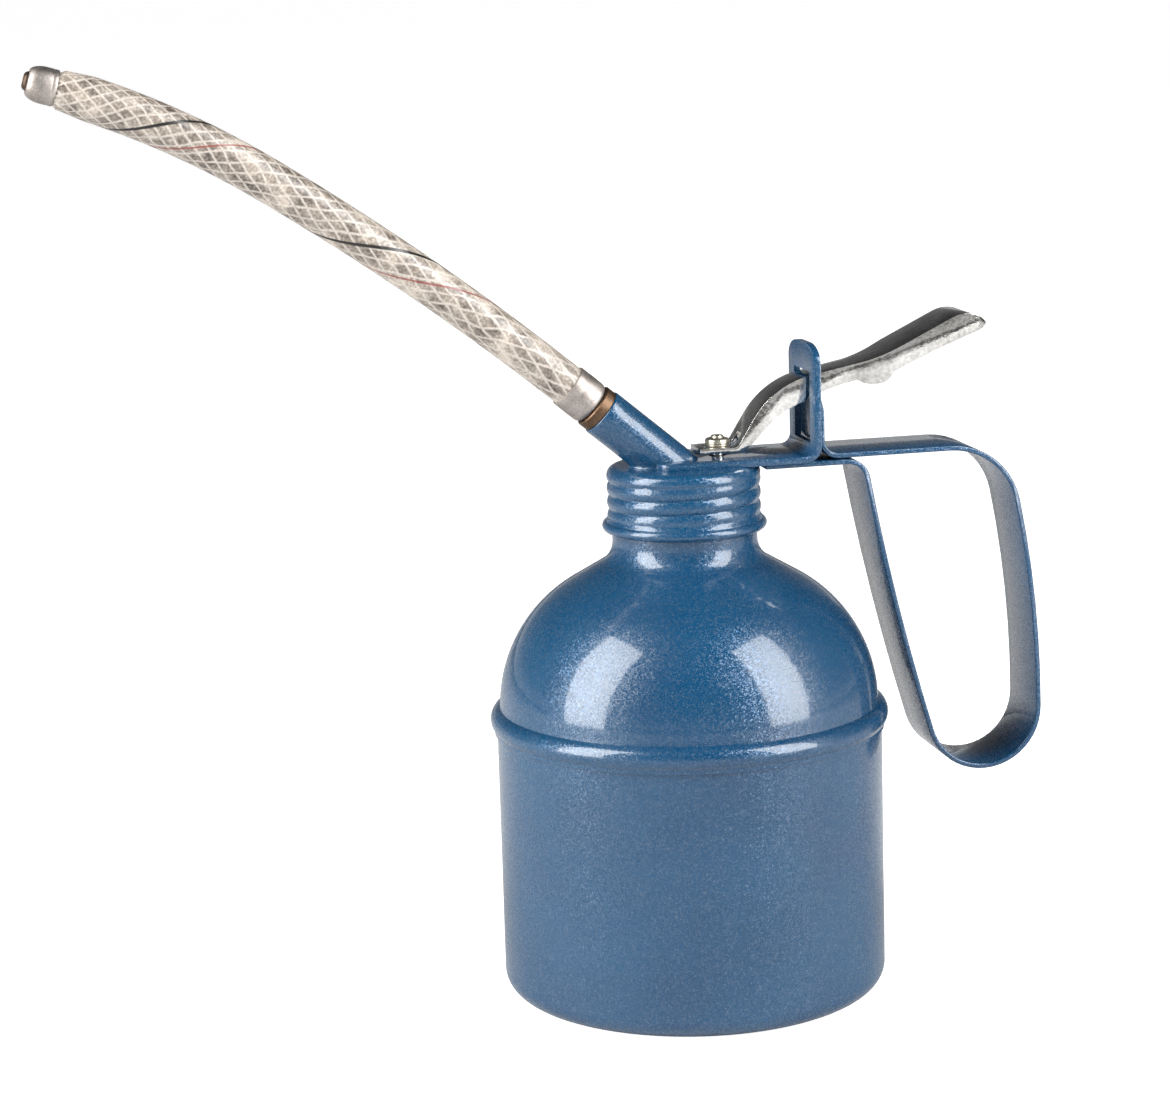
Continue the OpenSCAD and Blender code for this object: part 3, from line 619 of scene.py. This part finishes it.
# ---- Thumb lever ----
# Pressed steel channel with bright chrome over it: its foot is a flat tongue round the pump rod and
# its end a broad thumb pad.
chrome = metal("chrome plate", "#fdfcf9", "#bbb8b3", 0.05, 0.14, 0.8, 0.05)
lever = finish_piece(softened("thumb_lever", 0.28, 3, bend=0.85), "thumb_lever_pressed", "lever", chrome)
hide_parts("thumb_lever")

# ---- Rod head and washer ----
# The pump rod's end is riveted over a plated washer that lies on the lever's foot. Both pieces rise
# and fall with the plunger.
nickel = metal("nickel plate", "#e9e5d6", "#bdb8a6", 0.28, 0.45, 0.5, 0.012)
rod_place = Matrix.Translation(Vector((rod_x, 0, 0)) * MM)
head_z = 131.35
head_profile = [(0, head_z), (2.6, head_z), (2.85, head_z + 0.15), (2.95, head_z + 0.45), (2.9, head_z + 0.8),
                (2.7, head_z + 1.1), (2.4, head_z + 1.28), (1.7, head_z + 1.38), (1.54, head_z + 1.45),
                (1.5, head_z + 1.75), (1.35, head_z + 1.93), (0, head_z + 2.0)]
head = finish_piece(lathe(head_profile, rod_place, 64, closed=False), "rod_head_riveted", "plunger", nickel)
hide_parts("rod_head")
washer_profile = [(1.5, 130.85), (2.75, 130.85), (2.9, 131.0), (2.9, 131.2), (2.75, 131.35), (1.5, 131.35)]
washer = finish_piece(lathe(washer_profile, rod_place, 64), "rod_washer_plated", "plunger", nickel)
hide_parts("rod_washer")

# ---- Floor and light ----
# Pale floor, a tall soft box on either side of the camera, and a room whose walls are brightest low
# down and dim overhead. To the camera itself the room is plain white.
floor_half = 15
floor_drop = Matrix.Translation((0, 0, -0.0002))
aim = Vector((0, 0, 0.08))
bm = bmesh.new()
bmesh.ops.create_grid(bm, x_segments=1, y_segments=1, size=floor_half, matrix=floor_drop)
floor_mesh = bpy.data.meshes.new("floor")
bm.to_mesh(floor_mesh)
bm.free()
floor = bpy.data.objects.new("floor", floor_mesh)
bpy.context.collection.objects.link(floor)
floor_paint, tree, shader = new_material("floor paper")
fibre = add(tree, "ShaderNodeTexNoise", Vector=add(tree, "ShaderNodeTexCoord").outputs["Object"], Scale=300.0)
paper = add(tree, "ShaderNodeValToRGB", stops=((0.3, "#cfcfcf"), (0.7, "#d4d4d4")), Fac=fibre)
tree.links.new(paper.outputs[0], shader.inputs["Base Color"])
# the paper is burnt out to white, but its light on the can stays soft
seen = add(tree, "ShaderNodeLightPath").outputs["Is Camera Ray"]
burnt = add(tree, "ShaderNodeMath", {"operation": "MULTIPLY"}, i0=seen, i1=0.95)
tree.links.new(burnt.outputs[0], shader.inputs["Emission Strength"])
shader.inputs["Emission Color"].default_value = srgb("#ffffff")
shader.inputs["Roughness"].default_value = 0.9
shader.inputs["Specular IOR Level"].default_value = 0.1
floor_mesh.materials.append(floor_paint)


def soft_box(name, azimuth, elevation, distance, width, height, power):
    """A rectangular light that faces the can. Its azimuth is counted from -Y towards +X, in degrees."""
    data = bpy.data.lights.new(name, "AREA")
    data.shape = "RECTANGLE"
    data.size = width
    data.size_y = height
    data.energy = power
    lamp = bpy.data.objects.new(name, data)
    a, e = radians(azimuth), radians(elevation)
    spot = aim + distance * Vector((sin(a) * cos(e), -cos(a) * cos(e), sin(e)))
    lamp.matrix_world = Matrix.Translation(spot) @ (spot - aim).to_track_quat("Z", "Y").to_matrix().to_4x4()
    bpy.context.collection.objects.link(lamp)


soft_box("soft_box_left", -79, 23.2, 1.5, 0.8, 2.0, 49)
soft_box("soft_box_right", 48, 21.2, 1.5, 0.76, 2.1, 45)

world = bpy.data.worlds.new("studio")
bpy.context.scene.world = world
world.use_nodes = True
tree = world.node_tree
tree.nodes.clear()
towards = add(tree, "ShaderNodeSeparateXYZ", Vector=add(tree, "ShaderNodeTexCoord").outputs["Generated"])
rise = add(tree, "ShaderNodeMath", {"operation": "MULTIPLY_ADD"}, i0=towards.outputs[2], i1=0.5, i2=0.5)
room = add(tree, "ShaderNodeValToRGB", stops=((0.5, "#d6d6d6"), (0.56, "#6a6a6b"), (0.72, "#3d3d3f")),
           Fac=rise)
shown = add(tree, "ShaderNodeLightPath").outputs["Is Camera Ray"]
mixed = add(tree, "ShaderNodeMix", {"data_type": "RGBA"}, i0=shown, i6=room, i7="#ffffff").outputs[2]
glow = add(tree, "ShaderNodeBackground", Color=mixed, Strength=1.05)
add(tree, "ShaderNodeOutputWorld", Surface=glow.outputs[0])
bpy.context.scene.view_settings.view_transform = "Standard"
